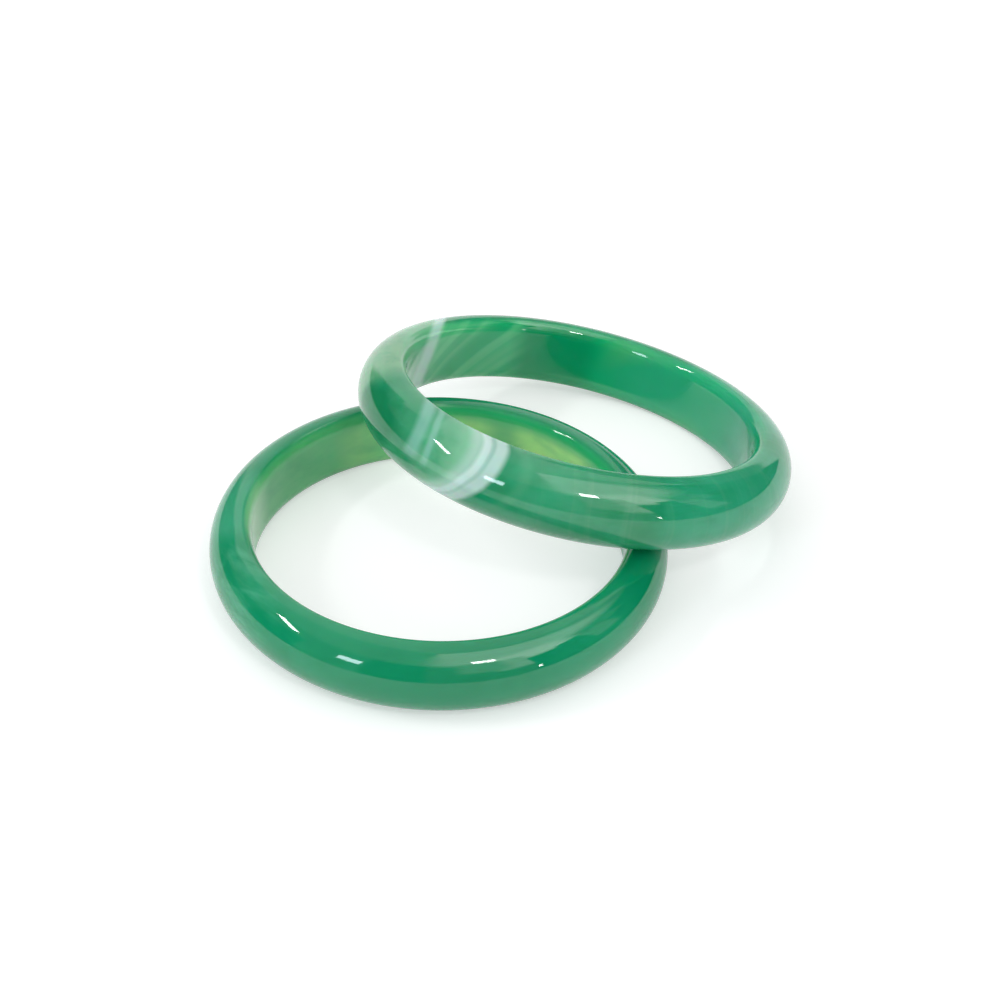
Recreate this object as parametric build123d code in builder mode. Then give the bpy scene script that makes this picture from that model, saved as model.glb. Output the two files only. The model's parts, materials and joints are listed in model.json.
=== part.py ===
from build123d import *

from math import cos, hypot, radians, sin

import os

# Two carved stone bangles, one lying flat and one leaning on it.
# Millimetres, +Z up. The pair stands on z = 0 with the middle of its footprint at the origin, and the upper
# bangle leans down towards +X. Each bangle is one closed ring: a straight inner wall, rounded rims, and an
# outer face that is half of an ellipse in section.

# Driving dimensions
LOWER_BORE_DIAMETER = 58.0
LOWER_WALL = 6.6
LOWER_HEIGHT = 11.1
UPPER_BORE_DIAMETER = 58.5
UPPER_WALL = 7.2
UPPER_HEIGHT = 11.6
RIM_WIDTH = 1.6
RIM_HEIGHT = 2.4

# How the upper bangle leans: with these two it clears the lower one by 0.14 mm where they cross
LEAN_ANGLE = 14.1
CENTRE_OFFSET = 31.2


def reach(bore_diameter, wall, height, across, along):
    """How far a ring reaches from its centre in a direction with these parts across and along its axis."""
    crown_radius = bore_diameter / 2 + RIM_WIDTH
    dome_depth = wall - RIM_WIDTH
    return crown_radius * across + hypot(dome_depth * across, height / 2 * along)


lean_cos = cos(radians(LEAN_ANGLE))
lean_sin = sin(radians(LEAN_ANGLE))
lower_reach = reach(LOWER_BORE_DIAMETER, LOWER_WALL, LOWER_HEIGHT, 1, 0)
upper_reach = reach(UPPER_BORE_DIAMETER, UPPER_WALL, UPPER_HEIGHT, lean_cos, lean_sin)
upper_centre_height = reach(UPPER_BORE_DIAMETER, UPPER_WALL, UPPER_HEIGHT, lean_sin, lean_cos)

lower_centre_x = (lower_reach - CENTRE_OFFSET - upper_reach) / 2
upper_centre_x = lower_centre_x + CENTRE_OFFSET

# Each section plane holds the ring's axis: its x runs outwards from the axis and its y along it
lower_section = Plane(origin=(lower_centre_x, 0, LOWER_HEIGHT / 2), x_dir=(1, 0, 0), z_dir=(0, -1, 0))
upper_section = Plane(
    origin=(upper_centre_x, 0, upper_centre_height), x_dir=(lean_cos, 0, -lean_sin), z_dir=(0, -1, 0)
)


def section_outline(bore_diameter, wall, height):
    """The ring's section as a closed outline: bore wall, two rims and the domed outer face."""
    bore_radius = bore_diameter / 2
    crown_radius = bore_radius + RIM_WIDTH
    rim_start = height / 2 - RIM_HEIGHT
    with BuildLine() as outline:
        Line((bore_radius, -rim_start), (bore_radius, rim_start))
        EllipticalCenterArc((crown_radius, rim_start), RIM_WIDTH, RIM_HEIGHT, 90, arc_size=90)
        EllipticalCenterArc((crown_radius, 0), wall - RIM_WIDTH, height / 2, -90, arc_size=180)
        EllipticalCenterArc((crown_radius, -rim_start), RIM_WIDTH, RIM_HEIGHT, 180, arc_size=90)
    return outline.edges()


def ring_axis(section):
    """The axis of the ring whose section is drawn on this plane."""
    return Axis(section.origin, section.y_dir)


# Lower bangle: lies flat
with BuildPart() as lower_bangle:
    with BuildSketch(lower_section):
        make_face(section_outline(LOWER_BORE_DIAMETER, LOWER_WALL, LOWER_HEIGHT))
    revolve(axis=ring_axis(lower_section))

# Upper bangle: rests on the table at its +X end and on the lower bangle at two places
with BuildPart() as upper_bangle:
    with BuildSketch(upper_section):
        make_face(section_outline(UPPER_BORE_DIAMETER, UPPER_WALL, UPPER_HEIGHT))
    revolve(axis=ring_axis(upper_section))

lower_bangle.part.label = "lower_bangle"
upper_bangle.part.label = "upper_bangle"

os.makedirs("parts", exist_ok=True)
export_step(lower_bangle.part, "parts/lower_bangle.step")
export_step(upper_bangle.part, "parts/upper_bangle.step")

print("clearance where the bangles cross, mm:", round(lower_bangle.part.distance_to(upper_bangle.part), 3))
print("lower bangle centre, mm:", round(lower_centre_x, 4), LOWER_HEIGHT / 2)
print("upper bangle centre, mm:", round(upper_centre_x, 4), round(upper_centre_height, 4))
print("upper bangle axis:", round(lean_sin, 6), 0, round(lean_cos, 6))
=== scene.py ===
"""Two carved agate bangles: a plain green one lying flat, and a banded one leaning on it.

Each bangle is one closed ring of stone with a straight bore, rounded rims and a domed outer face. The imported
model gives every size and place, in metres, with +Z up, and each ring here stands for its own CAD node.
"""

import json
import logging
import math
from dataclasses import dataclass, field
from enum import Enum

import bpy
from mathutils import Euler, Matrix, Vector


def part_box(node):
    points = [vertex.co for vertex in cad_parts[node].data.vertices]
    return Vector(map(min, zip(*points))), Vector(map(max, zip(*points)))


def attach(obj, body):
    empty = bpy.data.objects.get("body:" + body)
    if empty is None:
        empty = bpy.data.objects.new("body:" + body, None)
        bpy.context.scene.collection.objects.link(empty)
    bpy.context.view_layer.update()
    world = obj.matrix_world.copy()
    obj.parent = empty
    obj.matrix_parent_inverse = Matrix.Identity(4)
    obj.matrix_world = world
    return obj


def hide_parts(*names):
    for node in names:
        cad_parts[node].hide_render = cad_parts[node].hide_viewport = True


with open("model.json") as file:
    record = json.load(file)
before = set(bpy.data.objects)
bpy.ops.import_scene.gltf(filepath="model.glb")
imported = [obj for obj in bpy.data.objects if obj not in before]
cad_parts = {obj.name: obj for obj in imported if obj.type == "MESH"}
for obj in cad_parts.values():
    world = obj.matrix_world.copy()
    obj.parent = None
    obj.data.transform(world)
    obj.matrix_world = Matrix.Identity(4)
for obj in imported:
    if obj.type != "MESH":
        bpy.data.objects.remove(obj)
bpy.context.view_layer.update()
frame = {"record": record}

MILLIMETRE = 0.001
Tree = bpy.types.NodeTree
Socket = bpy.types.NodeSocket
Triple = tuple[float, float, float]
Colour = tuple[float, float, float, float]
WHITE: Colour = (1.0, 1.0, 1.0, 1.0)

log = logging.getLogger("bangles")


# ---------------------------------------------------------------- node wiring


class Wiring:
    """Adds nodes to one tree and joins them."""

    def __init__(self, tree: Tree) -> None:
        """Keeps the tree.

        Args:
            tree: The node tree to add to.
        """
        self.tree = tree

    def add(
        self, kind: str, inputs: dict[str | int, object] | None = None, **settings: object
    ) -> bpy.types.Node:
        """Adds one node.

        Args:
            kind: The node's type name.
            inputs: Values or output sockets for the node's inputs, by name or place.
            **settings: Properties of the node itself.

        Returns:
            The new node.
        """
        node = self.tree.nodes.new(kind)
        for name, value in settings.items():
            setattr(node, name, value)
        for key, value in (inputs or {}).items():
            self.feed(node.inputs[key], value)
        return node

    def feed(self, socket: Socket, value: object) -> None:
        """Links an output socket to an input, or sets a plain value on it.

        Args:
            socket: The input.
            value: The output socket or the plain value.
        """
        if isinstance(value, Socket):
            self.tree.links.new(value, socket)
        else:
            socket.default_value = value

    def math(self, operation: str, *terms: object) -> Socket:
        """Adds a Math node, in shaders and geometry alike.

        Args:
            operation: The Math node's operation.
            *terms: Its inputs in order, as numbers or sockets.

        Returns:
            The result's socket.
        """
        return self.add("ShaderNodeMath", dict(enumerate(terms)), operation=operation).outputs[0]

    def product(self, first: object, *others: object) -> Socket:
        """Multiplies numbers or sockets, from left to right.

        Args:
            first: The first factor.
            *others: The other factors.

        Returns:
            The product's socket.
        """
        result = first
        for factor in others:
            result = self.math("MULTIPLY", result, factor)
        return result

    def vector(self, operation: str, *terms: object, result: int = 0) -> Socket:
        """Adds a Vector Math node.

        Args:
            operation: The node's operation.
            *terms: Its inputs in order, as vectors or sockets.
            result: Which output to give: 0 for a vector, 1 for a number.

        Returns:
            The result's socket.
        """
        return self.add("ShaderNodeVectorMath", dict(enumerate(terms)), operation=operation).outputs[result]

    def step(
        self, value: object, low: object, high: object, to_low: float = 0.0, to_high: float = 1.0
    ) -> Socket:
        """Adds a smooth step between two values.

        Args:
            value: What is tested.
            low: Where the step starts.
            high: Where it ends.
            to_low: The result at its start.
            to_high: The result at its end.

        Returns:
            The result's socket.
        """
        inputs = {"Value": value, "From Min": low, "From Max": high, "To Min": to_low, "To Max": to_high}
        return self.add("ShaderNodeMapRange", inputs, interpolation_type="SMOOTHSTEP").outputs["Result"]

    def place(self, group: Tree, inputs: dict[str, object]) -> bpy.types.Node:
        """Adds a shader group's node.

        Args:
            group: The group.
            inputs: Values or output sockets for its inputs, by name.

        Returns:
            The new node.
        """
        node = self.add("ShaderNodeGroup", node_tree=group)
        for name, value in inputs.items():
            self.feed(node.inputs[name], value)
        return node

    def mix(self, factor: object, colour: object, tint: object) -> Socket:
        """Adds a colour mix.

        Args:
            factor: How much of the tint is taken.
            colour: The colour where the factor is 0.
            tint: The colour where the factor is 1.

        Returns:
            The mixed colour's socket.
        """
        return self.add("ShaderNodeMix", {0: factor, 6: colour, 7: tint}, data_type="RGBA").outputs[2]


def new_group(
    name: str, kind: str, inputs: dict[str, tuple[str, object]], outputs: dict[str, str]
) -> tuple[Tree, Wiring, object, bpy.types.Node]:
    """Makes an empty node group with named sockets.

    Args:
        name: The group's name.
        kind: ShaderNodeTree or GeometryNodeTree.
        inputs: Socket type and default value for each input, in order.
        outputs: Socket type for each output, in order.

    Returns:
        The group, its wiring, its inputs by name and its output node.
    """
    group = bpy.data.node_groups.new(name, kind)
    for label, (socket_type, default) in inputs.items():
        socket = group.interface.new_socket(label, in_out="INPUT", socket_type=socket_type)
        if default is not None:
            socket.default_value = default
    for label, socket_type in outputs.items():
        group.interface.new_socket(label, in_out="OUTPUT", socket_type=socket_type)
    wiring = Wiring(group)
    entry = wiring.add("NodeGroupInput")
    exit_node = wiring.add("NodeGroupOutput")
    return group, wiring, entry.outputs, exit_node


# ---------------------------------------------------------------- ring geometry


@dataclass(frozen=True)
class RingSection:
    """A bangle's sizes, in metres."""

    bore_radius: float
    bore_length: float
    outer_radius: float
    rim_width: float = 1.6 * MILLIMETRE
    rim_height: float = 2.4 * MILLIMETRE

    @property
    def height(self) -> float:
        """The height of the ring from rim to rim."""
        return self.bore_length + 2 * self.rim_height

    @property
    def crown_radius(self) -> float:
        """The radius of the circle along the top of the section."""
        return self.bore_radius + self.rim_width

    @property
    def dome_depth(self) -> float:
        """How far the outer face bulges past the crown."""
        return self.outer_radius - self.crown_radius


class RingSweep:
    """The node tree that sweeps a bangle's section round its crown circle."""

    ROUND_STEPS = 512
    SECTION_STEPS = 170
    DOME_SHARE = 0.6
    WALL_SHARE = 0.3
    POLISH_DEPTH = 0.008 * MILLIMETRE
    POLISH_SIZE = 7.0 * MILLIMETRE
    NUMBERS = (
        "Crown Radius",
        "Dome Depth",
        "Rim Width",
        "Rim Height",
        "Half Height",
        "Polish Depth",
        "Polish Size",
        "Seed",
    )

    def __init__(self) -> None:
        """Builds the tree once, for both bangles."""
        inputs = {name: ("NodeSocketFloat", None) for name in self.NUMBERS}
        inputs["Stone"] = ("NodeSocketMaterial", None)
        group, wiring, given, result = new_group(
            "Ring sweep", "GeometryNodeTree", inputs, {"Ring": "NodeSocketGeometry"}
        )
        self.group = group
        path = wiring.add("GeometryNodeCurvePrimitiveCircle", {"Resolution": self.ROUND_STEPS})
        wiring.feed(path.inputs["Radius"], given["Crown Radius"])
        upright = wiring.add("GeometryNodeSetCurveNormal", {"Curve": path.outputs["Curve"]}, mode="Z_UP")
        section = self.section(wiring, given)
        curves = {"Curve": upright.outputs["Curve"], "Profile Curve": section}
        swept = wiring.add("GeometryNodeCurveToMesh", curves)
        polished = self.hand_polish(wiring, given, swept.outputs["Mesh"])
        smooth = wiring.add("GeometryNodeSetShadeSmooth", {"Geometry": polished})
        single = wiring.add("GeometryNodeRealizeInstances", {"Geometry": smooth.outputs[0]})
        dressed = wiring.add(
            "GeometryNodeSetMaterial", {"Geometry": single.outputs[0], "Material": given["Stone"]}
        )
        wiring.feed(result.inputs["Ring"], dressed.outputs[0])

    def section(self, wiring: Wiring, given: object) -> Socket:
        """Shapes the section: half an ellipse outside, a straight wall and two rounded rims inside.

        Args:
            wiring: The tree's wiring.
            given: The tree's inputs.

        Returns:
            The section's curve.
        """
        around = wiring.add("GeometryNodeCurvePrimitiveCircle", {"Resolution": self.SECTION_STEPS})
        index = wiring.add("GeometryNodeInputIndex").outputs[0]
        turn = wiring.math("DIVIDE", index, float(self.SECTION_STEPS))

        dome_angle = wiring.math("MULTIPLY_ADD", turn, math.pi / self.DOME_SHARE, -math.pi / 2)
        dome_x = wiring.product(wiring.math("COSINE", dome_angle), given["Dome Depth"])
        dome_y = wiring.product(wiring.math("SINE", dome_angle), given["Half Height"])

        inward = wiring.math("SUBTRACT", turn, self.DOME_SHARE)
        side = wiring.math("MULTIPLY_ADD", inward, -2 / (1 - self.DOME_SHARE), 1.0)
        along_wall = wiring.math("DIVIDE", side, self.WALL_SHARE)
        wall = wiring.math("MINIMUM", wiring.math("MAXIMUM", along_wall, -1.0), 1.0)
        past_wall = wiring.math("SUBTRACT", wiring.math("ABSOLUTE", side), self.WALL_SHARE)
        rim_share = wiring.math("DIVIDE", wiring.math("MAXIMUM", past_wall, 0.0), 1 - self.WALL_SHARE)
        rim_angle = wiring.product(rim_share, math.pi / 2)
        rim_x = wiring.product(wiring.math("COSINE", rim_angle), given["Rim Width"], -1.0)
        half_wall = wiring.math("SUBTRACT", given["Half Height"], given["Rim Height"])
        wall_y = wiring.product(wall, half_wall)
        rim_rise = wiring.product(wiring.math("SINE", rim_angle), given["Rim Height"])
        rim_y = wiring.math("MULTIPLY_ADD", wiring.math("SIGN", side), rim_rise, wall_y)

        on_dome = wiring.math("LESS_THAN", turn, self.DOME_SHARE)
        chosen = []
        for outside, inside in ((dome_x, rim_x), (dome_y, rim_y)):
            blend = wiring.add("ShaderNodeMix", data_type="FLOAT")
            wiring.feed(blend.inputs[0], on_dome)
            wiring.feed(blend.inputs[2], inside)
            wiring.feed(blend.inputs[3], outside)
            chosen.append(blend.outputs[0])
        place = wiring.add("ShaderNodeCombineXYZ", {"X": chosen[0], "Y": chosen[1]})
        shaped = wiring.add(
            "GeometryNodeSetPosition", {"Geometry": around.outputs["Curve"], "Position": place.outputs[0]}
        )
        return shaped.outputs[0]

    def hand_polish(self, wiring: Wiring, given: object, mesh: Socket) -> Socket:
        """Lets the surface wander by less than a hundredth of a millimetre, as hand polishing leaves it.

        Args:
            wiring: The tree's wiring.
            given: The tree's inputs.
            mesh: The swept ring.

        Returns:
            The polished ring.
        """
        place = wiring.add("GeometryNodeInputPosition").outputs[0]
        scale = wiring.math("DIVIDE", 1.0, given["Polish Size"])
        wander = wiring.add(
            "ShaderNodeTexNoise",
            {"Vector": place, "W": given["Seed"], "Scale": scale, "Detail": 1.0, "Roughness": 0.4},
            noise_dimensions="4D",
        )
        centred = wiring.math("SUBTRACT", wander.outputs[0], 0.5)
        depth = wiring.product(centred, given["Polish Depth"])
        normal = wiring.add("GeometryNodeInputNormal").outputs[0]
        shift = wiring.add("ShaderNodeVectorMath", {0: normal, 3: depth}, operation="SCALE").outputs[0]
        return wiring.add("GeometryNodeSetPosition", {"Geometry": mesh, "Offset": shift}).outputs[0]

    def mesh(self, name: str, section: RingSection, seed: float, stone: bpy.types.Material) -> bpy.types.Mesh:
        """Runs the tree and gives the ring as a plain mesh, centred on its own axis.

        Args:
            name: The mesh's name.
            section: The ring's sizes.
            seed: The seed of its hand polish.
            stone: Its material.

        Returns:
            The plain mesh.
        """
        holder = bpy.data.objects.new(name + "_sweep", bpy.data.meshes.new(name + "_empty"))
        bpy.context.scene.collection.objects.link(holder)
        modifier = holder.modifiers.new("sweep", "NODES")
        modifier.node_group = self.group
        values = {
            "Crown Radius": section.crown_radius,
            "Dome Depth": section.dome_depth,
            "Rim Width": section.rim_width,
            "Rim Height": section.rim_height,
            "Half Height": section.height / 2,
            "Polish Depth": self.POLISH_DEPTH,
            "Polish Size": self.POLISH_SIZE,
            "Seed": seed,
            "Stone": stone,
        }
        for item in self.group.interface.items_tree:
            if item.in_out == "INPUT":
                modifier[item.identifier] = values[item.name]
        graph = bpy.context.evaluated_depsgraph_get()
        plain = bpy.data.meshes.new_from_object(holder.evaluated_get(graph))
        plain.name = name
        holder.modifiers.clear()
        bpy.data.objects.remove(holder)
        return plain


# ---------------------------------------------------------------- stone patterns


def mask_group(
    name: str, inputs: dict[str, float | Triple]
) -> tuple[Tree, Wiring, object, bpy.types.Node]:
    """Makes an empty shader group that takes ring coordinates and gives a mask.

    Args:
        name: The group's name.
        inputs: The default for each input besides the coordinates, as a number or a vector.

    Returns:
        The group, its wiring, its inputs by name and its output node.
    """
    sockets = {"Vector": ("NodeSocketVector", None)}
    for label, default in inputs.items():
        kind = "NodeSocketVector" if isinstance(default, tuple) else "NodeSocketFloat"
        sockets[label] = (kind, default)
    return new_group(name, "ShaderNodeTree", sockets, {"Mask": "NodeSocketFloat"})


class StonePatterns:
    """The shader groups that both stones share. Each reads ring coordinates, in millimetres."""

    SEED_STRIDE = 17.3
    SLOW_WAVE = 0.07
    SHEET_WAVE = 0.16
    POOL_WAVE = 0.22
    POOL_RAGGEDNESS = 0.5
    HAZE_WAVE = 0.12
    HAIR_WAVE = 3.0
    HAIRS_ALONG = 1.5
    HAIRS_ACROSS = 4.0
    HAIR_DULLING = 0.02
    HAZE_RANGE = (0.45, 0.75)
    HAIR_RANGE = (0.68, 0.74)

    def __init__(self) -> None:
        """Builds every group once."""
        self.arc = self.build_arc()
        self.sheet = self.build_sheet()
        self.banding = self.build_banding()
        self.cloud = self.build_cloud()
        self.pool = self.build_pool()
        self.polish = self.build_polish()

    def build_arc(self) -> Tree:
        """Builds the window on a stretch of the ring, by its angle round the axis in degrees.

        Returns:
            The group.
        """
        inputs = {"Azimuth": 0.0, "Half Width": 20.0, "Feather": 10.0}
        group, wiring, given, result = mask_group("Arc window", inputs)
        parts = wiring.add("ShaderNodeSeparateXYZ", {0: given["Vector"]}).outputs
        angle = wiring.math("DEGREES", wiring.math("ARCTAN2", parts["Y"], parts["X"]))
        away = wiring.math("WRAP", wiring.math("SUBTRACT", angle, given["Azimuth"]), 180.0, -180.0)
        distance = wiring.math("ABSOLUTE", away)
        end = wiring.math("ADD", given["Half Width"], given["Feather"])
        wiring.feed(result.inputs["Mask"], wiring.step(distance, given["Half Width"], end, 1.0, 0.0))
        return group

    def build_sheet(self) -> Tree:
        """Builds the milky sheet that runs through the stone as a gently warped plane.

        Returns:
            The group.
        """
        inputs = {
            "Normal": (0.0, 0.0, 1.0),
            "Offset": 0.0,
            "Thickness": 1.0,
            "Feather": 0.5,
            "Warp": 0.3,
        }
        group, wiring, given, result = mask_group("Milky sheet", inputs)
        along = wiring.vector("DOT_PRODUCT", given["Vector"], given["Normal"], result=1)
        slow = {"Vector": given["Vector"], "Scale": self.SHEET_WAVE, "Detail": 2.0}
        noise = wiring.add("ShaderNodeTexNoise", slow)
        sway = wiring.product(wiring.math("SUBTRACT", noise.outputs[0], 0.5), given["Warp"])
        distance = wiring.math("ADD", wiring.math("SUBTRACT", along, given["Offset"]), sway)
        half = wiring.product(given["Thickness"], 0.5)
        end = wiring.math("ADD", half, given["Feather"])
        mask = wiring.step(wiring.math("ABSOLUTE", distance), half, end, 1.0, 0.0)
        wiring.feed(result.inputs["Mask"], mask)
        return group

    def build_banding(self) -> Tree:
        """Builds the fine parallel lines of agate: noise along one direction, bent by a slow warp.

        Returns:
            The group.
        """
        inputs = {
            "Normal": (0.0, 0.0, 1.0),
            "Lines per mm": 0.5,
            "Warp": 2.0,
            "Low": 0.45,
            "High": 0.7,
            "Fineness": 3.0,
            "Seed": 0.0,
        }
        group, wiring, given, result = mask_group("Fine banding", inputs)
        along = wiring.vector("DOT_PRODUCT", given["Vector"], given["Normal"], result=1)
        noise = wiring.add(
            "ShaderNodeTexNoise",
            {"Vector": given["Vector"], "W": given["Seed"], "Scale": self.SLOW_WAVE, "Detail": 1.0},
            noise_dimensions="4D",
        )
        sway = wiring.product(wiring.math("SUBTRACT", noise.outputs[0], 0.5), given["Warp"])
        place = wiring.product(wiring.math("ADD", along, sway), given["Lines per mm"])
        shifted = wiring.math("ADD", place, wiring.product(given["Seed"], self.SEED_STRIDE))
        lines = wiring.add(
            "ShaderNodeTexNoise",
            {"W": shifted, "Scale": 1.0, "Detail": given["Fineness"], "Roughness": 0.6},
            noise_dimensions="1D",
        )
        wiring.feed(result.inputs["Mask"], wiring.step(lines.outputs[0], given["Low"], given["High"]))
        return group

    def build_cloud(self) -> Tree:
        """Builds the soft cloudiness of the stone, stretched along one direction.

        Returns:
            The group.
        """
        inputs = {"Size": (10.0, 10.0, 10.0), "Low": 0.4, "High": 0.7, "Seed": 0.0}
        group, wiring, given, result = mask_group("Stone cloud", inputs)
        scaled = wiring.vector("DIVIDE", given["Vector"], given["Size"])
        billows = {"Scale": 1.0, "Detail": 3.0, "Roughness": 0.55, "Distortion": 0.4}
        noise = wiring.add(
            "ShaderNodeTexNoise", {"Vector": scaled, "W": given["Seed"], **billows}, noise_dimensions="4D"
        )
        wiring.feed(result.inputs["Mask"], wiring.step(noise.outputs[0], given["Low"], given["High"]))
        return group

    def build_pool(self) -> Tree:
        """Builds the rounded pool of colour, with an edge that noise breaks up.

        Returns:
            The group.
        """
        inputs = {"Centre": (0.0, 0.0, 0.0), "Size": (5.0, 5.0, 5.0), "Feather": 0.5}
        group, wiring, given, result = mask_group("Colour pool", inputs)
        apart = wiring.vector("SUBTRACT", given["Vector"], given["Centre"])
        share = wiring.vector("LENGTH", wiring.vector("DIVIDE", apart, given["Size"]), result=1)
        rough = {"Vector": given["Vector"], "Scale": self.POOL_WAVE, "Detail": 3.0}
        noise = wiring.add("ShaderNodeTexNoise", rough)
        centred = wiring.math("SUBTRACT", noise.outputs[0], 0.5)
        ragged = wiring.math("MULTIPLY_ADD", centred, self.POOL_RAGGEDNESS, share)
        start = wiring.math("SUBTRACT", 1.0, given["Feather"])
        wiring.feed(result.inputs["Mask"], wiring.step(ragged, start, 1.0, 1.0, 0.0))
        return group

    def build_polish(self) -> Tree:
        """Builds the wear of the polish: faint haze patches, and hairlines that run round the ring.

        Returns:
            The group.
        """
        inputs = {
            "Vector": ("NodeSocketVector", None),
            "Gloss": ("NodeSocketFloat", 0.03),
            "Haze": ("NodeSocketFloat", 0.03),
        }
        outputs = {"Roughness": "NodeSocketFloat", "Height": "NodeSocketFloat"}
        group, wiring, given, result = new_group("Hand polish", "ShaderNodeTree", inputs, outputs)
        cloudy = {"Vector": given["Vector"], "Scale": self.HAZE_WAVE, "Detail": 4.0}
        patches = wiring.add("ShaderNodeTexNoise", cloudy)
        haze = wiring.product(wiring.step(patches.outputs[0], *self.HAZE_RANGE), given["Haze"])
        parts = wiring.add("ShaderNodeSeparateXYZ", {0: given["Vector"]}).outputs
        squares = [wiring.product(parts[axis], parts[axis]) for axis in ("X", "Y")]
        radius = wiring.math("SQRT", wiring.math("ADD", *squares))
        angle = wiring.math("ARCTAN2", parts["Y"], parts["X"])
        rubbed = wiring.add(
            "ShaderNodeCombineXYZ",
            {
                "X": wiring.product(angle, self.HAIRS_ALONG),
                "Y": wiring.product(radius, self.HAIRS_ACROSS),
                "Z": wiring.product(parts["Z"], self.HAIRS_ACROSS),
            },
        )
        fine = {"Vector": rubbed.outputs[0], "Scale": self.HAIR_WAVE, "Detail": 2.0}
        hairs = wiring.add("ShaderNodeTexNoise", fine)
        hairline = wiring.step(hairs.outputs[0], *self.HAIR_RANGE)
        dulled = wiring.math("MULTIPLY_ADD", hairline, self.HAIR_DULLING, haze)
        wiring.feed(result.inputs["Roughness"], wiring.math("ADD", given["Gloss"], dulled))
        wiring.feed(result.inputs["Height"], hairs.outputs[0])
        return group


class Face(Enum):
    """The faces of a ring that a mark can lie on."""

    DOME = "dome"
    WALL = "wall"


@dataclass(frozen=True)
class Mark:
    """A point on a ring: degrees round the axis, millimetres above the ring's middle, and the face."""

    azimuth: float
    height: float
    face: Face = Face.DOME

    def point(self, section: RingSection) -> Vector:
        """Works out where the mark is, in ring coordinates.

        Args:
            section: The ring's sizes.

        Returns:
            The point, in millimetres.
        """
        if self.face is Face.DOME:
            share = min(1.0, abs(self.height) * MILLIMETRE / (section.height / 2))
            radius = (section.crown_radius + section.dome_depth * math.sqrt(1 - share * share)) / MILLIMETRE
        else:
            radius = section.bore_radius / MILLIMETRE
        turn = math.radians(self.azimuth)
        return Vector((radius * math.cos(turn), radius * math.sin(turn), self.height))


def sheet_plane(marks: tuple[Mark, Mark, Mark], section: RingSection) -> tuple[Vector, float]:
    """Works out the plane through three marks.

    Args:
        marks: The three marks.
        section: The ring's sizes.

    Returns:
        The plane's normal, and its distance from the ring's middle in millimetres.
    """
    first, second, third = (mark.point(section) for mark in marks)
    normal = (second - first).cross(third - first).normalized()
    return normal, normal.dot(first)


# ---------------------------------------------------------------- finishes


@dataclass(frozen=True)
class Polish:
    """A polished stone's gloss, and how many millimetres red, green and blue light go into it."""

    gloss: float = 0.025
    haze: float = 0.03
    hairline: float = 0.004
    hairline_depth: float = 0.02 * MILLIMETRE
    ior: float = 1.54
    depth: Triple = (1.0, 4.5, 2.2)
    depth_weight: float = 1.0


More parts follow.
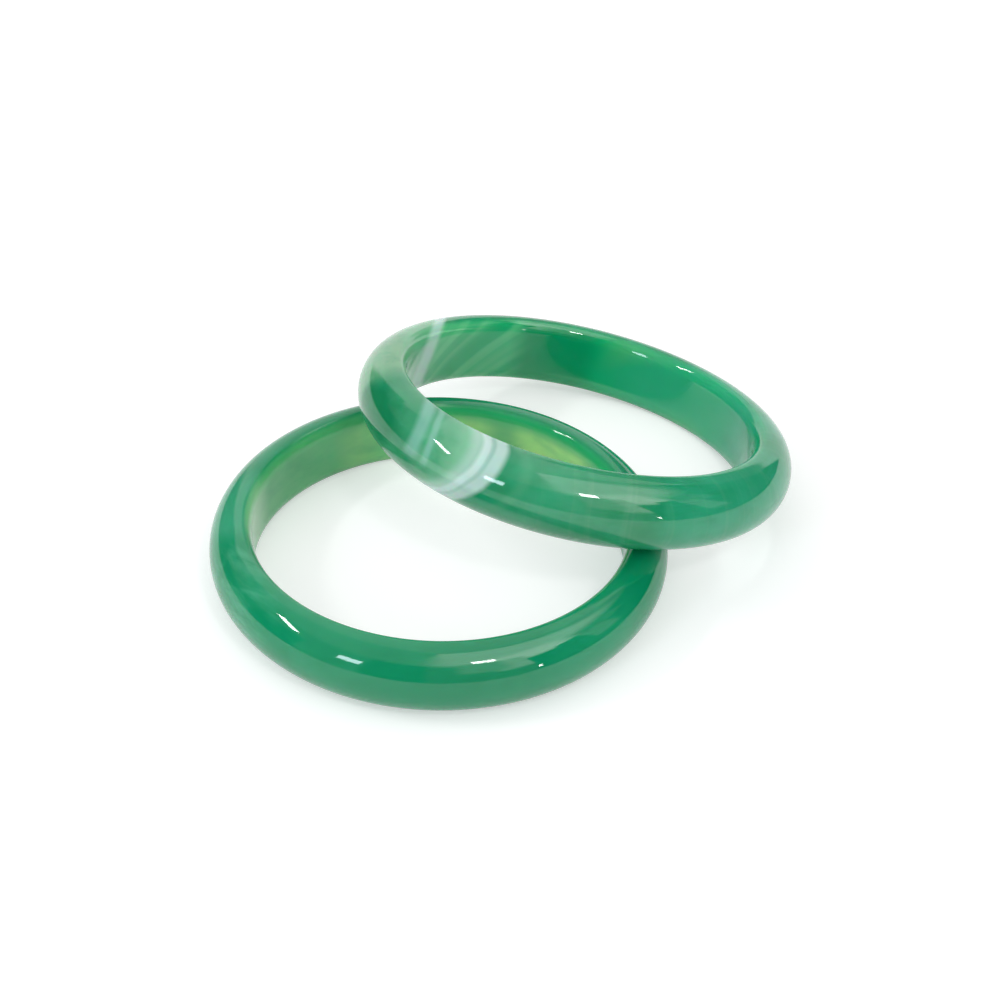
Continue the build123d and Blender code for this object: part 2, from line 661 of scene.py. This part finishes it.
class StoneShader:
    """A polished translucent stone's material, which a finish then colours."""

    WALL_ENDS = 0.15
    CROWN_STARTS = 0.8

    def __init__(
        self, name: str, patterns: StonePatterns, section: RingSection, centre: Vector, lean: float
    ) -> None:
        """Sets up ring coordinates.

        Args:
            name: The material's name.
            patterns: The shared shader groups.
            section: The ring's sizes.
            centre: The ring's centre, in metres.
            lean: The ring's turn about +Y, in radians.
        """
        self.material = bpy.data.materials.new(name)
        self.material.use_nodes = True
        tree = self.material.node_tree
        tree.nodes.clear()
        self.patterns = patterns
        self.section = section
        self.wiring = Wiring(tree)
        place = self.wiring.add("ShaderNodeTexCoord").outputs["Object"]
        local = self.wiring.add(
            "ShaderNodeMapping",
            {"Vector": place, "Location": centre, "Rotation": (0.0, lean, 0.0), "Scale": (MILLIMETRE,) * 3},
            vector_type="TEXTURE",
        )
        self.ring = local.outputs[0]
        parts = self.wiring.add("ShaderNodeSeparateXYZ", {0: self.ring}).outputs
        self.height = parts["Z"]
        across = self.wiring.add("ShaderNodeCombineXYZ", {"X": parts["X"], "Y": parts["Y"]}).outputs[0]
        self.radius = self.wiring.vector("LENGTH", across, result=1)

    def group(self, group: Tree, **inputs: object) -> Socket:
        """Places a shared group and gives its first output.

        Args:
            group: The group.
            **inputs: Its inputs, with underscores for spaces.

        Returns:
            The group's mask.
        """
        values = {name.replace("_", " "): value for name, value in inputs.items()}
        values["Vector"] = self.ring
        return self.wiring.place(group, values).outputs[0]

    def arc(self, azimuth: float, half_width: float, feather: float) -> Socket:
        """Gives the window on a stretch of the ring, in degrees round its axis.

        Args:
            azimuth: The stretch's middle.
            half_width: How far its full part reaches on each side.
            feather: Over how many degrees it then fades.

        Returns:
            The window's mask.
        """
        return self.group(self.patterns.arc, Azimuth=azimuth, Half_Width=half_width, Feather=feather)

    def sheet(
        self, marks: tuple[Mark, Mark, Mark], thickness: float, feather: float, warp: float
    ) -> Socket:
        """Gives a milky sheet through three marks.

        Args:
            marks: Three points of the sheet on the ring's surface.
            thickness: How thick its full part is, in millimetres.
            feather: How far it fades on each side, in millimetres.
            warp: How far it wanders, in millimetres.

        Returns:
            The sheet's mask.
        """
        normal, offset = sheet_plane(marks, self.section)
        return self.group(
            self.patterns.sheet, Normal=normal, Offset=offset, Thickness=thickness, Feather=feather, Warp=warp
        )

    def banding(
        self,
        normal: Triple,
        lines: float,
        warp: float,
        low: float,
        high: float,
        seed: float,
        fineness: float = 3.0,
    ) -> Socket:
        """Gives fine parallel lines through the stone.

        Args:
            normal: The direction across the lines.
            lines: How many there are to a millimetre.
            warp: How far they wander, in millimetres.
            low: The noise value at which a line starts to show.
            high: The noise value at which it shows in full.
            seed: The seed of the lines.
            fineness: How much finer lines there are between the main ones.

        Returns:
            The lines' mask.
        """
        return self.group(
            self.patterns.banding,
            Normal=normal,
            Lines_per_mm=lines,
            Warp=warp,
            Low=low,
            High=high,
            Fineness=fineness,
            Seed=seed,
        )

    def patch(self, mark: Mark, size: Triple, feather: float) -> Socket:
        """Gives a soft-edged pool of colour round a mark.

        Args:
            mark: Its middle, on the ring's surface.
            size: Its half sizes along the ring's own X, Y and Z, in millimetres.
            feather: The share of its size over which it fades.

        Returns:
            The pool's mask.
        """
        return self.group(self.patterns.pool, Centre=mark.point(self.section), Size=size, Feather=feather)

    def on_wall(self) -> Socket:
        """Gives the mask of the inner wall, which fades out across the rims.

        Returns:
            The mask.
        """
        wall = self.section.bore_radius / MILLIMETRE
        rim = self.section.rim_width / MILLIMETRE
        start = wall + self.WALL_ENDS * rim
        end = wall + self.CROWN_STARTS * rim
        return self.wiring.step(self.radius, start, end, 1.0, 0.0)

    def finish(self, colour: Socket, stone: Polish) -> bpy.types.Material:
        """Adds the shader that the colour feeds.

        Args:
            colour: The stone's colour over the surface.
            stone: How the stone is polished and how deep light goes in it.

        Returns:
            The material.
        """
        wear = {"Vector": self.ring, "Gloss": stone.gloss, "Haze": stone.haze}
        polish = self.wiring.place(self.patterns.polish, wear)
        bump = self.wiring.add(
            "ShaderNodeBump",
            {
                "Strength": stone.hairline,
                "Distance": stone.hairline_depth,
                "Height": polish.outputs["Height"],
            },
        )
        shader = self.wiring.add(
            "ShaderNodeBsdfPrincipled",
            {
                "Base Color": colour,
                "Roughness": polish.outputs["Roughness"],
                "IOR": stone.ior,
                "Subsurface Weight": stone.depth_weight,
                "Subsurface Radius": stone.depth,
                "Subsurface Scale": MILLIMETRE,
                "Normal": bump.outputs["Normal"],
            },
            subsurface_method="RANDOM_WALK",
        )
        self.wiring.add("ShaderNodeOutputMaterial", {"Surface": shader.outputs[0]})
        return self.material


@dataclass(frozen=True)
class GreenAgate:
    """Plain green agate: deep and even, with faint wisps, and a warm stretch inside the ring that is a painted
    glow of light coming through the stone.
    """

    deep: Colour = (0.001, 0.252, 0.112, 1.0)
    middle: Colour = (0.012, 0.310, 0.152, 1.0)
    wisp: Colour = (0.11, 0.46, 0.30, 1.0)
    mossy: Colour = (0.13, 0.50, 0.21, 1.0)
    clear: Colour = (0.035, 0.48, 0.195, 1.0)
    # Painted glow: the yellow-green of light coming through the stone, laid on the inner wall.
    warm_tint_and_painted_glow: Colour = (0.52, 0.88, 0.30, 1.0)
    pale: Colour = (0.40, 0.66, 0.42, 1.0)
    polish: Polish = field(default_factory=Polish)

    def material(
        self, patterns: StonePatterns, section: RingSection, centre: Vector, lean: float
    ) -> bpy.types.Material:
        """Makes the material for the plain bangle.

        Args:
            patterns: The shared shader groups.
            section: The ring's sizes.
            centre: The ring's centre.
            lean: The ring's lean.

        Returns:
            The material.
        """
        stone = StoneShader("green_agate", patterns, section, centre, lean)
        clouds = stone.group(patterns.cloud, Size=(16.0, 16.0, 9.0), Low=0.38, High=0.78, Seed=2.0)
        colour = stone.wiring.mix(clouds, self.deep, self.middle)
        colour = self.wisps(stone, colour)
        colour = self.wall_tones_and_painted_glow(stone, colour)
        return stone.finish(colour, self.polish)

    def wisps(self, stone: StoneShader, colour: Socket) -> Socket:
        """Adds a lighter stretch, a deep line and faint pale wisps on one side of the dome.

        Args:
            stone: The stone's shader.
            colour: The colour so far.

        Returns:
            The colour with the wisps.
        """
        wiring = stone.wiring
        lighter = wiring.product(stone.arc(135.0, 9.0, 9.0), 0.32)
        colour = wiring.mix(lighter, colour, self.wisp)
        marks = (Mark(148.5, 3.2), Mark(155.5, 4.25), Mark(146.0, 0.5))
        seam = stone.sheet(marks, thickness=0.6, feather=1.6, warp=1.5)
        near_seam = wiring.product(stone.arc(152.0, 8.0, 6.0), 0.6)
        colour = wiring.mix(wiring.product(seam, near_seam), colour, self.deep)
        feathery = stone.group(stone.patterns.cloud, Size=(2.6, 8.0, 1.8), Low=0.42, High=0.72, Seed=4.0)
        near_wisps = wiring.product(stone.arc(166.0, 8.0, 12.0), 0.40)
        return wiring.mix(wiring.product(feathery, near_wisps), colour, self.wisp)

    def wall_tones_and_painted_glow(self, stone: StoneShader, colour: Socket) -> Socket:
        """Adds the mossy stretch of the inner wall, and the painted yellow-green glow on it that stands in for
        light coming through the stone.

        Args:
            stone: The stone's shader.
            colour: The colour so far.

        Returns:
            The colour with the warm stretches.
        """
        wiring = stone.wiring
        clouds = stone.group(stone.patterns.cloud, Size=(11.0, 11.0, 5.0), Low=0.30, High=0.62, Seed=8.0)
        inside = stone.on_wall()
        uneven = wiring.math("MULTIPLY_ADD", clouds, 0.30, 0.55)
        mossy = wiring.product(stone.arc(94.0, 40.0, 16.0), uneven, inside)
        colour = wiring.mix(mossy, colour, self.mossy)
        clear = wiring.product(stone.arc(20.0, 40.0, 20.0), inside, 0.85)
        colour = wiring.mix(clear, colour, self.clear)
        # Painted glow: three soft yellow-green stretches of the inner wall stand in for light coming through
        # the stone. They are full up to 1.8 mm above the middle and gone at 4.8 mm.
        painted_glow_top, painted_glow_full = 4.8, 1.8
        low = wiring.step(stone.height, painted_glow_top, painted_glow_full)
        patchy = wiring.math("MULTIPLY_ADD", clouds, 0.40, 0.45)
        for azimuth, half_width, feather, strength in (
            (4.0, 9.0, 18.0, 1.0),
            (36.0, 3.0, 12.0, 0.8),
            (68.0, 4.0, 14.0, 0.45),
        ):
            glow = wiring.product(stone.arc(azimuth, half_width, feather), strength, patchy, low, inside)
            colour = wiring.mix(glow, colour, self.warm_tint_and_painted_glow)
        end = wiring.product(stone.arc(136.0, 7.0, 14.0), inside, 0.6)
        return wiring.mix(end, colour, self.pale)


@dataclass(frozen=True)
class BandedAgate:
    """Banded agate: green, with white sheets, pale veils and fine lines that follow them."""

    deep: Colour = (0.001, 0.245, 0.100, 1.0)
    middle: Colour = (0.018, 0.330, 0.165, 1.0)
    inky: Colour = (0.0, 0.205, 0.080, 1.0)
    plain: Colour = (0.001, 0.290, 0.115, 1.0)
    clear: Colour = (0.004, 0.410, 0.168, 1.0)
    teal: Colour = (0.050, 0.420, 0.260, 1.0)
    smoky: Colour = (0.24, 0.46, 0.27, 1.0)
    milky: Colour = (0.25, 0.55, 0.36, 1.0)
    pale: Colour = (0.20, 0.64, 0.34, 1.0)
    # Here the warm tint is the stone's own colour, in some slanting wall bands; no light is painted with it.
    warm_tint_and_painted_glow: Colour = (0.17, 0.48, 0.18, 1.0)
    frost: Colour = (0.38, 0.64, 0.60, 1.0)
    grey: Colour = (0.36, 0.56, 0.50, 1.0)
    white: Colour = (0.68, 0.80, 0.80, 1.0)
    polish: Polish = field(default_factory=Polish)

    def material(
        self, patterns: StonePatterns, section: RingSection, centre: Vector, lean: float
    ) -> bpy.types.Material:
        """Makes the material for the banded bangle.

        Args:
            patterns: The shared shader groups.
            section: The ring's sizes.
            centre: The ring's centre.
            lean: The ring's lean.

        Returns:
            The material.
        """
        stone = StoneShader("banded_agate", patterns, section, centre, lean)
        clouds = stone.group(patterns.cloud, Size=(12.0, 12.0, 8.0), Low=0.35, High=0.75, Seed=5.0)
        colour = stone.wiring.mix(clouds, self.deep, self.middle)
        colour = self.veils(stone, colour)
        colour = self.fine_lines(stone, colour)
        colour = self.wall_bands(stone, colour)
        colour = self.front_sheets(stone, colour)
        colour = self.wall_sheets(stone, colour)
        return stone.finish(colour, self.polish)

    def veils(self, stone: StoneShader, colour: Socket) -> Socket:
        """Adds the broad milky stretches, and the deep pool that cuts one of them.

        Args:
            stone: The stone's shader.
            colour: The colour so far.

        Returns:
            The colour with the veils.
        """
        wiring = stone.wiring
        clouds = stone.group(stone.patterns.cloud, Size=(6.0, 6.0, 4.0), Low=0.28, High=0.62, Seed=1.0)
        uneven = wiring.math("MULTIPLY_ADD", clouds, 0.5, 0.5)
        for azimuth, half_width, feather, strength, tint in (
            (120.0, 20.0, 14.0, 0.72, self.smoky),
            (166.0, 6.0, 8.0, 0.15, self.milky),
            (184.0, 4.0, 6.0, 0.50, self.milky),
            (220.0, 12.0, 12.0, 0.12, self.milky),
            (335.0, 18.0, 20.0, 0.50, self.teal),
            (268.0, 18.0, 16.0, 0.50, self.teal),
        ):
            share = wiring.product(stone.arc(azimuth, half_width, feather), strength, uneven)
            colour = wiring.mix(share, colour, tint)
        pool = stone.patch(Mark(157.0, 1.2), size=(8.0, 10.5, 4.8), feather=0.5)
        return wiring.mix(wiring.product(pool, 0.97), colour, self.inky)

    def fine_lines(self, stone: StoneShader, colour: Socket) -> Socket:
        """Adds the fine pale lines across the dome.

        Args:
            stone: The stone's shader.
            colour: The colour so far.

        Returns:
            The colour with the lines.
        """
        wiring = stone.wiring
        tilt = 0.12
        for azimuth, half_width, lines, strength, seed in (
            (222.0, 8.0, 0.55, 0.09, 4.0),
            (262.0, 16.0, 0.45, 0.11, 6.0),
            (310.0, 30.0, 0.30, 0.10, 9.0),
        ):
            across = math.radians(azimuth + 90)
            normal = (math.cos(across), math.sin(across), tilt)
            bands = stone.banding(normal, lines, warp=4.0, low=0.45, high=0.85, seed=seed)
            near = wiring.product(stone.arc(azimuth, half_width, 10.0), strength)
            colour = wiring.mix(wiring.product(bands, near), colour, self.milky)
        return colour

    def wall_bands(self, stone: StoneShader, colour: Socket) -> Socket:
        """Adds the clear green of the inner wall, and its slanting bands on both sides of a plain stretch.

        Args:
            stone: The stone's shader.
            colour: The colour so far.

        Returns:
            The colour with the bands.
        """
        wiring = stone.wiring
        slant = (0.587, -0.157, -0.794)
        inside = stone.on_wall()
        colour = wiring.mix(wiring.product(stone.arc(44.0, 60.0, 20.0), inside), colour, self.clear)
        far = wiring.product(stone.arc(350.0, 22.0, 24.0), inside, 0.45)
        colour = wiring.mix(far, colour, self.teal)
        for azimuth, half_width, lines, strength, seed, tint in (
            (80.0, 16.0, 0.34, 0.50, 11.0, self.pale),
            (82.0, 16.0, 0.12, 0.45, 12.0, self.pale),
            (8.0, 14.0, 0.12, 0.40, 15.0, self.warm_tint_and_painted_glow),
        ):
            bands = stone.banding(slant, lines, warp=2.0, low=0.36, high=0.72, seed=seed, fineness=1.5)
            near = wiring.product(stone.arc(azimuth, half_width, 12.0), inside, strength)
            colour = wiring.mix(wiring.product(bands, near), colour, tint)
        plain = wiring.product(stone.arc(48.0, 9.0, 10.0), inside, 0.8)
        return wiring.mix(plain, colour, self.plain)

    def front_sheets(self, stone: StoneShader, colour: Socket) -> Socket:
        """Adds the white sheet across the front with its milky side, and the frosty pair beside it.

        Args:
            stone: The stone's shader.
            colour: The colour so far.

        Returns:
            The colour with the sheets.
        """
        wiring = stone.wiring
        window = stone.arc(184.0, 26.0, 8.0)
        foot_fade = 2.5
        for marks, thickness, feather, foot, strength, tint in (
            ((Mark(172.0, 5.58), Mark(176.0, 2.6), Mark(174.8, -1.2)), 0.6, 1.2, 1.0, 0.44, self.frost),
            ((Mark(175.5, 5.77), Mark(180.2, 3.5), Mark(180.7, 0.6)), 0.2, 0.7, 1.0, 0.36, self.frost),
            ((Mark(188.8, 5.5), Mark(190.0, 2.6), Mark(186.0, -1.8)), 0.8, 2.2, -3.0, 0.58, self.milky),
            ((Mark(191.6, 5.6), Mark(192.9, 2.6), Mark(186.6, -2.4)), 0.6, 1.5, -4.0, 0.42, self.white),
            ((Mark(193.0, 5.7), Mark(194.3, 2.6), Mark(187.0, -2.8)), 0.4, 0.6, -4.0, 0.66, self.white),
            ((Mark(197.0, 5.72), Mark(197.5, 2.4), Mark(190.8, -2.7)), 0.7, 0.9, -4.0, 0.66, self.white),
            ((Mark(194.8, 5.67), Mark(195.5, 2.4), Mark(189.6, -2.5)), 0.1, 0.35, -4.0, 0.45, self.grey),
            ((Mark(204.0, 5.6), Mark(206.0, 2.4), Mark(200.0, -2.6)), 0.2, 0.9, -1.0, 0.10, self.milky),
        ):
            sheet = stone.sheet(marks, thickness, feather, warp=0.7)
            above = wiring.step(stone.height, foot - foot_fade, foot)
            near = wiring.product(window, above, strength)
            colour = wiring.mix(wiring.product(sheet, near), colour, tint)
        return colour

    def wall_sheets(self, stone: StoneShader, colour: Socket) -> Socket:
        """Adds the white sheet across the crown and the inner wall, and the veils beyond it.

        Args:
            stone: The stone's shader.
            colour: The colour so far.

        Returns:
            The colour with the sheets.
        """
        wiring = stone.wiring
        window = stone.arc(106.0, 20.0, 8.0)
        wall = Face.WALL
        for marks, thickness, feather, strength, tint in (
            ((Mark(106.0, 5.3), Mark(124.0, 3.2, wall), Mark(130.0, 0.0, wall)), 1.2, 2.4, 0.50, self.milky),
            ((Mark(95.5, 5.5), Mark(107.0, 3.1, wall), Mark(112.0, -2.6, wall)), 1.2, 2.2, 0.55, self.milky),
            ((Mark(92.5, 5.55), Mark(104.0, 3.1, wall), Mark(109.0, -2.6, wall)), 0.7, 1.0, 0.62, self.white),
        ):
            sheet = stone.sheet(marks, thickness, feather, warp=0.6)
            colour = wiring.mix(wiring.product(sheet, window, strength), colour, tint)
        return colour


# ---------------------------------------------------------------- bangles


@dataclass
class Bangle:
    """One bangle: its node, its body, its slot, its sizes and its place."""

    node: str
    body: str
    slot: str
    mount: str
    finish: GreenAgate | BandedAgate
    seed: float
    section: RingSection = field(init=False)
    centre: Vector = field(init=False)
    lean: float = field(init=False)

    def __post_init__(self) -> None:
        """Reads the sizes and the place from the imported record."""
        bore = next(mount for mount in frame["record"]["mounts"] if mount["name"] == self.mount)
        lowest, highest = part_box(self.node)
        self.section = RingSection(
            bore_radius=bore["dims"]["r_mm"] * MILLIMETRE,
            bore_length=bore["dims"]["length_mm"] * MILLIMETRE,
            outer_radius=(highest.y - lowest.y) / 2,
        )
        self.centre = Vector(bore["pos_m"])
        axis = Vector(bore["axis"])
        self.lean = math.atan2(axis.x, axis.z)

    def build(self, sweep: RingSweep, patterns: StonePatterns) -> bpy.types.Object:
        """Makes the ring, puts it in place and gives it to its body.

        Args:
            sweep: The node tree that sweeps the section.
            patterns: The shared shader groups.

        Returns:
            The finished ring.
        """
        stone = self.finish.material(patterns, self.section, self.centre, self.lean)
        mesh = sweep.mesh(self.node + "_stone", self.section, self.seed, stone)
        turn = Euler((0.0, self.lean, 0.0)).to_matrix().to_4x4()
        turn.translation = self.centre
        mesh.transform(turn)
        ring = bpy.data.objects.new(self.node + "_stone", mesh)
        bpy.context.scene.collection.objects.link(ring)
        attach(ring, self.body)
        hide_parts(self.node)
        log.info("%s: %d faces, rides on %s", ring.name, len(mesh.polygons), self.body)
        return ring


# ---------------------------------------------------------------- studio


def outward(heading: float, elevation: float) -> Vector:
    """Works out a direction.

    Args:
        heading: Degrees from +X towards +Y.
        elevation: Degrees above the floor.

    Returns:
        The direction, one unit long.
    """
    across, rise = math.radians(heading), math.radians(elevation)
    level = math.cos(rise)
    return Vector((math.cos(across) * level, math.sin(across) * level, math.sin(rise)))


@dataclass(frozen=True)
class Panel:
    """A soft light panel that faces the bangles: heading and elevation in degrees, sizes in metres."""

    name: str
    heading: float
    elevation: float
    distance: float
    width: float
    height: float
    radiance: float
    colour: Triple = (1.0, 1.0, 1.0)
    turn: float = 0.0

    def build(self, aim: Vector) -> None:
        """Hangs the panel.

        Args:
            aim: The point it faces.
        """
        light = bpy.data.lights.new(self.name, "AREA")
        light.shape = "RECTANGLE"
        light.size = self.width
        light.size_y = self.height
        light.energy = self.radiance * math.pi * self.width * self.height
        light.color = self.colour
        holder = bpy.data.objects.new(self.name, light)
        away = outward(self.heading, self.elevation)
        holder.location = aim + away * self.distance
        facing = away.to_track_quat("Z", "Y").to_matrix()
        roll = Euler((0.0, 0.0, math.radians(self.turn))).to_matrix()
        holder.rotation_euler = (facing @ roll).to_euler()
        holder.visible_camera = False
        bpy.context.scene.collection.objects.link(holder)


@dataclass(frozen=True)
class Camera:
    """The camera: its place in metres and degrees, its lens and sensor in millimetres."""

    aim: Triple = (0.00385, 0.00542, 0.0)
    heading: float = 42.33
    elevation: float = 36.63
    distance: float = 0.2468
    roll: float = 2.75
    lens: float = 52.64
    sensor: float = 36.0

    def build(self) -> None:
        """Makes the camera the scene's own."""
        data = bpy.data.cameras.new("camera")
        data.lens = self.lens
        data.sensor_width = self.sensor
        data.clip_start = 0.01
        data.clip_end = 20.0
        holder = bpy.data.objects.new("camera", data)
        forward = outward(self.heading, -self.elevation)
        holder.location = Vector(self.aim) - forward * self.distance
        level = forward.to_track_quat("-Z", "Y").to_matrix()
        roll = Euler((0.0, 0.0, math.radians(self.roll))).to_matrix()
        holder.rotation_euler = (level @ roll).to_euler()
        bpy.context.scene.collection.objects.link(holder)
        bpy.context.scene.camera = holder


@dataclass(frozen=True)
class RoomPatch:
    """A stretch of the room that the stone mirrors: its heading and edges in degrees, and its radiance."""

    heading: float
    half_width: float
    low: float
    high: float
    radiance: float
    feather: float
    edge: float = 3.0


@dataclass(frozen=True)
class Studio:
    """The pale floor, the room round it and the light panels."""

    floor_radius: float = 2.5
    floor_drop: float = 0.02 * MILLIMETRE
    floor_colour: Colour = (0.72, 0.72, 0.72, 1.0)
    floor_glow: float = 0.325
    floor_spill: float = 0.07
    floor_mirrored: float = 0.25
    ambient: float = 0.85
    seen: float = 0.98
    wall: float = 0.30
    wall_top: float = 44.0
    wall_fade: float = 12.0
    ceiling: float = 0.60
    aim: Triple = (0.0, 0.0, 0.01)
    patches: tuple[RoomPatch, ...] = (
        RoomPatch(42.0, 34.0, -5.0, 90.0, 1.0, 8.0),
        RoomPatch(-75.0, 50.0, 56.0, 91.0, 2.6, 26.0, 14.0),
        RoomPatch(-82.0, 14.0, 44.0, 54.0, 4.2, 18.0, 10.0),
        RoomPatch(-98.0, 6.0, 24.0, 46.0, 2.2, 7.0, 8.0),
        RoomPatch(-113.0, 8.0, 28.0, 46.0, 1.1, 8.0, 8.0),
        RoomPatch(-81.0, 9.0, -4.0, 37.0, 0.03, 1.0, 1.0),
        RoomPatch(-65.0, 7.0, -4.0, 41.5, 0.03, 1.0, 1.0),
        RoomPatch(-51.0, 7.0, -4.0, 10.0, 0.03, 1.5, 1.0),
        RoomPatch(-52.0, 6.0, 15.0, 36.0, 0.70, 2.0, 2.0),
        RoomPatch(-37.0, 7.0, -4.0, 31.0, 0.02, 1.5, 1.0),
        RoomPatch(-13.0, 17.0, -4.0, 42.0, 0.02, 2.0, 2.0),
        RoomPatch(16.0, 13.0, 14.0, 34.0, 0.15, 4.0),
        RoomPatch(84.0, 10.0, -7.0, 34.0, 0.08, 6.0),
        RoomPatch(105.0, 14.0, -7.0, 18.0, 0.10, 6.0),
        RoomPatch(128.0, 8.0, -5.0, 26.0, 0.12, 4.0),
        RoomPatch(146.0, 12.0, -10.0, 30.0, 0.02, 3.0),
        RoomPatch(-155.0, 12.0, -5.0, 46.0, 0.07, 5.0),
    )
    panels: tuple[Panel, ...] = (
        Panel("left_panel", 140.2, 41.6, 1.4, 0.42, 0.085, 26.0, turn=-25.4),
        Panel("window_panel", -175.8, 27.1, 0.92, 0.16, 0.16, 13.0, (0.74, 0.86, 1.0)),
        Panel("near_panel", -112.5, 51.3, 0.43, 0.062, 0.042, 26.0),
        Panel("low_panel", -92.0, 8.0, 0.6, 0.020, 0.05, 18.0),
    )

    def build(self, patterns: StonePatterns) -> None:
        """Sets up the floor, the room, the panels and the view's tone.

        Args:
            patterns: The shared shader groups.
        """
        bpy.context.scene.view_settings.view_transform = "Standard"
        self.floor()
        self.room(patterns)
        for panel in self.panels:
            panel.build(Vector(self.aim))
            log.info("panel %s at heading %.0f", panel.name, panel.heading)

    def floor(self) -> None:
        """Lays the round pale floor under the bangles."""
        steps = 128
        reach = self.floor_radius
        corners = [(0.0, 0.0, -self.floor_drop)]
        for step in range(steps):
            turn = 2 * math.pi * step / steps
            corners.append((reach * math.cos(turn), reach * math.sin(turn), -self.floor_drop))
        faces = [(0, step + 1, (step + 1) % steps + 1) for step in range(steps)]
        mesh = bpy.data.meshes.new("floor")
        mesh.from_pydata(corners, [], faces)
        material = bpy.data.materials.new("pale_floor")
        material.use_nodes = True
        material.node_tree.nodes.clear()
        wiring = Wiring(material.node_tree)
        path = wiring.add("ShaderNodeLightPath").outputs
        mirrored = wiring.math("MULTIPLY_ADD", path["Is Glossy Ray"], self.floor_mirrored, self.floor_spill)
        glow = wiring.math("MULTIPLY_ADD", path["Is Camera Ray"], self.floor_glow, mirrored)
        shader = wiring.add(
            "ShaderNodeBsdfPrincipled",
            {
                "Base Color": self.floor_colour,
                "Roughness": 0.6,
                "Specular IOR Level": 0.1,
                "Emission Color": WHITE,
                "Emission Strength": glow,
            },
        )
        wiring.add("ShaderNodeOutputMaterial", {"Surface": shader.outputs[0]})
        mesh.materials.append(material)
        floor = bpy.data.objects.new("floor", mesh)
        bpy.context.scene.collection.objects.link(floor)

    def room(self, patterns: StonePatterns) -> None:
        """Makes the room: white to the eye, even as light, and dim round the walls in reflections.

        Args:
            patterns: The shared shader groups.
        """
        world = bpy.data.worlds.new("room")
        world.use_nodes = True
        world.node_tree.nodes.clear()
        wiring = Wiring(world.node_tree)
        bpy.context.scene.world = world
        direction = wiring.add("ShaderNodeTexCoord").outputs["Generated"]
        up = wiring.add("ShaderNodeSeparateXYZ", {0: direction}).outputs["Z"]
        elevation = wiring.math("DEGREES", wiring.math("ARCSINE", up))
        wall_end = self.wall_top + self.wall_fade
        shade = wiring.step(elevation, self.wall_top, wall_end, self.wall, self.ceiling)
        for patch in self.patches:
            stretch = {
                "Vector": direction,
                "Azimuth": patch.heading,
                "Half Width": patch.half_width,
                "Feather": patch.feather,
            }
            across = wiring.place(patterns.arc, stretch).outputs[0]
            above = wiring.step(elevation, patch.low - patch.edge, patch.low)
            below = wiring.step(elevation, patch.high, patch.high + patch.edge, 1.0, 0.0)
            share = wiring.product(across, above, below)
            difference = wiring.math("SUBTRACT", patch.radiance, shade)
            shade = wiring.math("MULTIPLY_ADD", difference, share, shade)
        lights = [
            wiring.add("ShaderNodeBackground", {"Color": WHITE, "Strength": strength}).outputs[0]
            for strength in (shade, self.ambient, self.seen)
        ]
        glossy, soft, seen = lights
        path = wiring.add("ShaderNodeLightPath").outputs
        unseen = wiring.add("ShaderNodeMixShader", {0: path["Is Glossy Ray"], 1: soft, 2: glossy})
        light = wiring.add(
            "ShaderNodeMixShader", {0: path["Is Camera Ray"], 1: unseen.outputs[0], 2: seen}
        )
        wiring.add("ShaderNodeOutputWorld", {"Surface": light.outputs[0]})


def main() -> None:
    """Builds the studio and both bangles."""
    logging.basicConfig(level=logging.INFO, format="%(name)s: %(message)s")
    patterns = StonePatterns()
    Camera().build()
    Studio().build(patterns)
    sweep = RingSweep()
    bangles = (
        Bangle("lower_bangle", "lower", "green_agate", "lower_bore", GreenAgate(), seed=1.0),
        Bangle("upper_bangle", "upper", "banded_agate", "upper_bore", BandedAgate(), seed=2.0),
    )
    for bangle in bangles:
        bangle.build(sweep, patterns)


if __name__ == "__main__":
    main()
